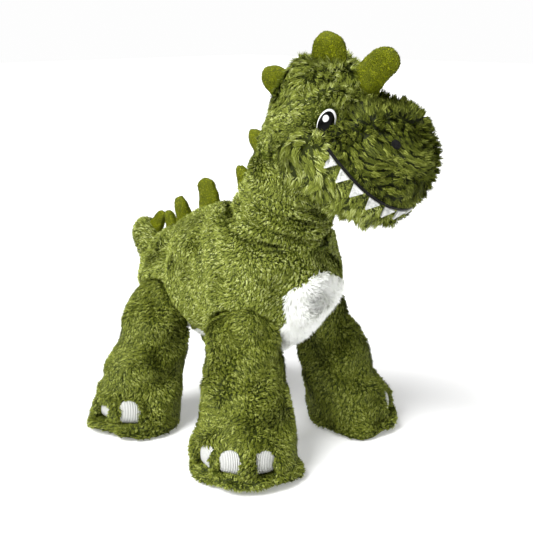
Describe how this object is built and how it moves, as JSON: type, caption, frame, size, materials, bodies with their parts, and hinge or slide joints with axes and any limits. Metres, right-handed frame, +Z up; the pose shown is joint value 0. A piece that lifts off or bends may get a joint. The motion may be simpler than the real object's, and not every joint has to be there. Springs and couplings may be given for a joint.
{
  "type": "stuffed dinosaur",
  "caption": "Standing plush dinosaur with long green pile, a row of soft spikes, felt teeth, knitted claws, and a head, legs and tail that flex on sewn joints",
  "frame": {"origin": "middle of the bounding box at floor level, under the belly", "axes": "+Z up, -Y the way the body faces, +X its left side"},
  "size_m": [0.2264, 0.3141, 0.3462],
  "materials": {
    "green_plush": "long pile",
    "sole_plush": "short pile",
    "white_plush": "long pile",
    "spike_velour": "short pile",
    "white_felt": "felt",
    "ribbed_knit": "ribbed knit",
    "black_thread": "satin stitch",
    "eye_black": "gloss",
    "fibre_filling": "loose fibre"
  },
  "bodies": {
    "torso": {"torso_right": "green_plush", "torso_left": "green_plush", "belly": "white_plush", "torso_stuffing": "fibre_filling", "spike_back_1": "spike_velour", "spike_back_2": "spike_velour", "spike_back_3": "spike_velour"},
    "neck": {"neck_right": "green_plush", "neck_left": "green_plush", "neck_stuffing": "fibre_filling", "spike_neck": "spike_velour", "spike_shoulder": "spike_velour"},
    "head": {"head_right": "green_plush", "head_left": "green_plush", "head_stuffing": "fibre_filling", "muzzle": "green_plush", "muzzle_stuffing": "fibre_filling", "jaw": "green_plush", "jaw_stuffing": "fibre_filling", "mouth_piping": "black_thread", "teeth_right": "white_felt", "teeth_left": "white_felt", "eye_white_right": "white_felt", "eye_white_left": "white_felt", "eye_right": "eye_black", "eye_left": "eye_black", "nostril_right": "black_thread", "nostril_left": "black_thread", "spike_brow": "spike_velour", "spike_crown": "spike_velour", "spike_nape": "spike_velour"},
    "leg_fr": {"leg_plush_fr": "green_plush", "sole_fr": "sole_plush", "claws_fr": "ribbed_knit", "leg_stuffing_fr": "fibre_filling"},
    "leg_fl": {"leg_plush_fl": "green_plush", "sole_fl": "sole_plush", "claws_fl": "ribbed_knit", "leg_stuffing_fl": "fibre_filling"},
    "leg_rr": {"leg_plush_rr": "green_plush", "sole_rr": "sole_plush", "claws_rr": "ribbed_knit", "leg_stuffing_rr": "fibre_filling"},
    "leg_rl": {"leg_plush_rl": "green_plush", "sole_rl": "sole_plush", "claws_rl": "ribbed_knit", "leg_stuffing_rl": "fibre_filling"},
    "tail": {"tail_plush": "green_plush", "tail_stuffing": "fibre_filling", "spike_tail": "spike_velour"}
  },
  "joints": [
    {"name": "neck_nod", "type": "hinge", "parent": "torso", "child": "neck", "pos_m": [0, -0.0243, 0.196], "axis": [1, 0, 0], "range_deg": [-11, 11], "stiffness_Nm_per_rad": 4},
    {"name": "head_turn", "type": "hinge", "parent": "neck", "child": "head", "pos_m": [0, -0.0243, 0.196], "axis": [0, -0.4384, 0.8988], "range_deg": [-50, 20], "stiffness_Nm_per_rad": 1.5},
    {"name": "hip_front_right", "type": "hinge", "parent": "torso", "child": "leg_fr", "pos_m": [-0.046, -0.0343, 0.104], "axis": [1, 0, 0], "range_deg": [-10, 10], "stiffness_Nm_per_rad": 4},
    {"name": "hip_front_left", "type": "hinge", "parent": "torso", "child": "leg_fl", "pos_m": [0.046, -0.0343, 0.104], "axis": [1, 0, 0], "range_deg": [-10, 10], "stiffness_Nm_per_rad": 4},
    {"name": "hip_rear_right", "type": "hinge", "parent": "torso", "child": "leg_rr", "pos_m": [-0.042, 0.0757, 0.104], "axis": [1, 0, 0], "range_deg": [-10, 10], "stiffness_Nm_per_rad": 4},
    {"name": "hip_rear_left", "type": "hinge", "parent": "torso", "child": "leg_rl", "pos_m": [0.042, 0.0757, 0.104], "axis": [1, 0, 0], "range_deg": [-10, 10], "stiffness_Nm_per_rad": 4},
    {"name": "tail_wag", "type": "hinge", "parent": "torso", "child": "tail", "pos_m": [0, 0.1197, 0.131], "axis": [0, -0.7431, 0.6691], "range_deg": [-12, 12], "stiffness_Nm_per_rad": 0.3}
  ]
}
